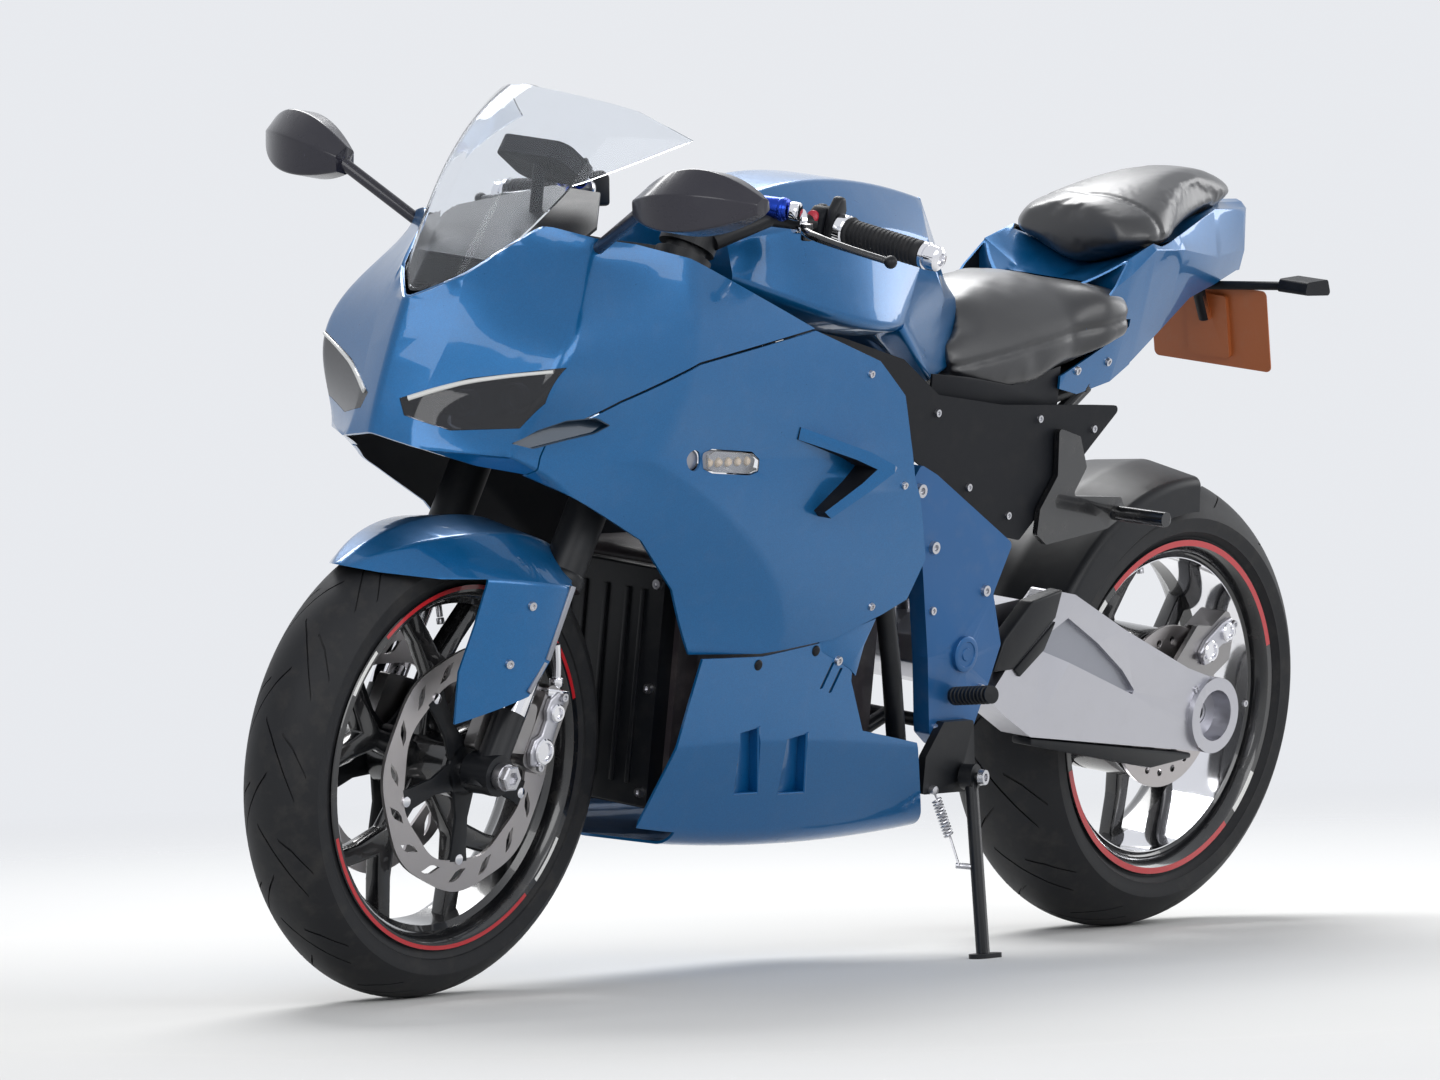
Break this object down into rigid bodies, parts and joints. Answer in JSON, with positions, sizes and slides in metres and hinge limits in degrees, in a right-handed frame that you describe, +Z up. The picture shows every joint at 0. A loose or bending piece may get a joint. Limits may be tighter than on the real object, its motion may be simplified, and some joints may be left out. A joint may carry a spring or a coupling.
{
  "type": "electric sport motorcycle",
  "caption": "Fully faired electric sport motorcycle leaning on its side stand, with turning wheels, steering and a folding stand.",
  "frame": {"origin": "bottom middle of the whole bike as it stands on its side stand", "axes": "+X forward, +Y to the bike's left, +Z up"},
  "size_m": [2.0649, 0.8102, 1.1427],
  "materials": {
    "battery_case": "satin dark brown",
    "black_plastic": "fine grain black",
    "black_wheel": "gloss black",
    "blue_paint": "gloss clear-coated blue",
    "bright_metal": "bright",
    "caliper_metal": "machined",
    "dark_metal": "satin black",
    "disc_steel": "brushed",
    "fork_metal": "satin black tubes",
    "frame_paint": "satin black",
    "gloss_black": "gloss black",
    "grip_rubber": "ribbed",
    "lens": "smoked clear",
    "plate_blank": "blank orange-brown",
    "polished_alloy": "polished",
    "screen": "clear",
    "seat_vinyl": "grained black cover",
    "tyre": "matt rubber"
  },
  "bodies": {
    "frame": {"battery_box": "battery_case", "belly_pan": "blue_paint", "front_cover": "black_plastic", "front_cowl": "blue_paint", "headlight_left": "lens", "headlight_right": "lens", "hugger": "gloss_black", "inner_cowl": "black_plastic", "instrument": "black_plastic", "main_frame": "frame_paint", "mirror_left": "black_plastic", "mirror_right": "black_plastic", "number_plate": "plate_blank", "pillion_peg_left": "bright_metal", "pillion_peg_right": "bright_metal", "pillion_seat": "seat_vinyl", "pivot_axle": "bright_metal", "pivot_plate_left": "blue_paint", "pivot_plate_right": "blue_paint", "plate_holder": "black_plastic", "rear_axle": "bright_metal", "rear_caliper": "caliper_metal", "rear_shock": "dark_metal", "rider_peg_left": "dark_metal", "rider_peg_right": "dark_metal", "rider_seat": "seat_vinyl", "side_cover_left": "black_plastic", "side_cover_right": "black_plastic", "side_fairing_left": "blue_paint", "side_fairing_right": "blue_paint", "stand_bracket": "dark_metal", "swingarm": "polished_alloy", "tail_cowl": "blue_paint", "tank": "blue_paint", "windscreen": "screen"},
    "steering": {"fork_legs": "fork_metal", "front_axle": "bright_metal", "front_calipers": "caliper_metal", "front_mudguard": "blue_paint", "grips": "grip_rubber", "handlebars": "dark_metal", "levers": "dark_metal", "triple_clamps": "dark_metal"},
    "front_wheel": {"front_discs": "disc_steel", "front_rim": "black_wheel", "front_tyre": "tyre"},
    "rear_wheel": {"hub_motor": "dark_metal", "rear_disc": "disc_steel", "rear_rim": "black_wheel", "rear_tyre": "tyre"},
    "side_stand": {"side_stand": "dark_metal"}
  },
  "joints": [
    {"name": "steering_head", "type": "hinge", "parent": "frame", "child": "steering", "pos_m": [0.47247, -0.03769, 0.78245], "axis": [-0.4147, 0.1345, 0.9], "range_deg": [-25, 25]},
    {"name": "front_axle_spin", "type": "hinge", "parent": "steering", "child": "front_wheel", "pos_m": [0.7325, -0.11012, 0.29784], "axis": [0, 0.989, -0.1478], "continuous": true},
    {"name": "rear_axle_spin", "type": "hinge", "parent": "frame", "child": "rear_wheel", "pos_m": [-0.7175, -0.1079, 0.31267], "axis": [0, 0.989, -0.1478], "continuous": true},
    {"name": "stand_pivot", "type": "hinge", "parent": "frame", "child": "side_stand", "pos_m": [-0.1575, 0.05735, 0.23439], "axis": [-0.1952, 0.9796, -0.0477], "range_deg": [0, 95]}
  ]
}
